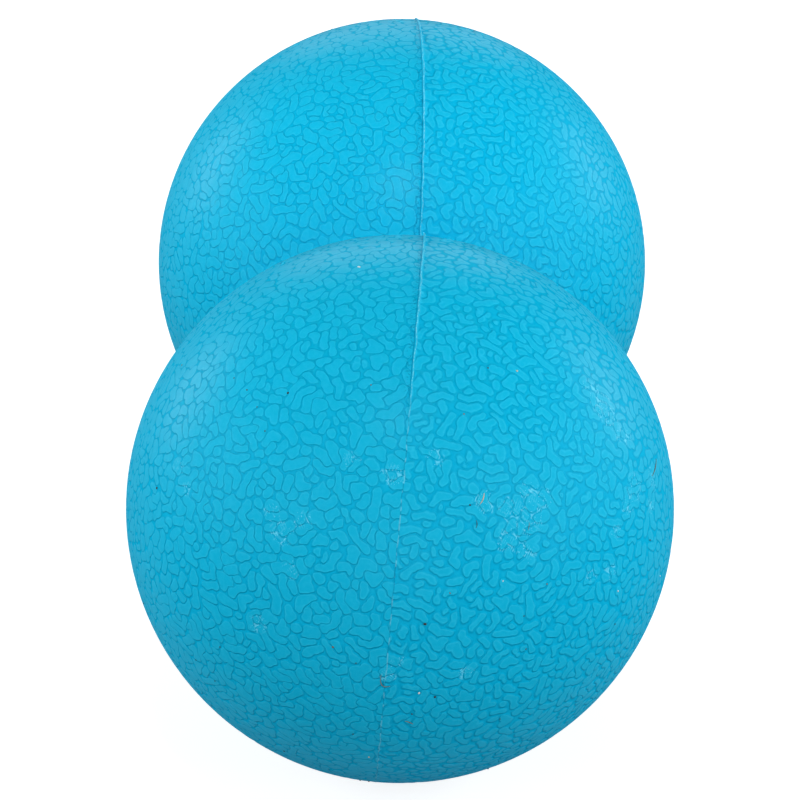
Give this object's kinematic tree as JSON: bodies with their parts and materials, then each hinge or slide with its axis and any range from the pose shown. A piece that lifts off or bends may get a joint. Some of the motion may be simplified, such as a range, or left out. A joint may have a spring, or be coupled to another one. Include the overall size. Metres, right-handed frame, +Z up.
{
  "type": "peanut massage ball",
  "caption": "Peanut-shaped massage ball of solid rubber: two equal round lobes joined by a narrow neck, with a leather-like grain and a mould flash line along its length.",
  "frame": {"origin": "middle of the ball, in the centre of its neck", "axes": "+Y along the ball's length from one lobe to the other, +Z up, with the flash line over the top leaning 4.5 degrees towards +X"},
  "size_m": [0.063, 0.125, 0.0634],
  "materials": {
    "grained_rubber": "matte sky-blue rubber with a moulded leather-like grain of small raised islands"
  },
  "bodies": {
    "root": {"peanut_ball": "grained_rubber"}
  },
  "joints": []
}
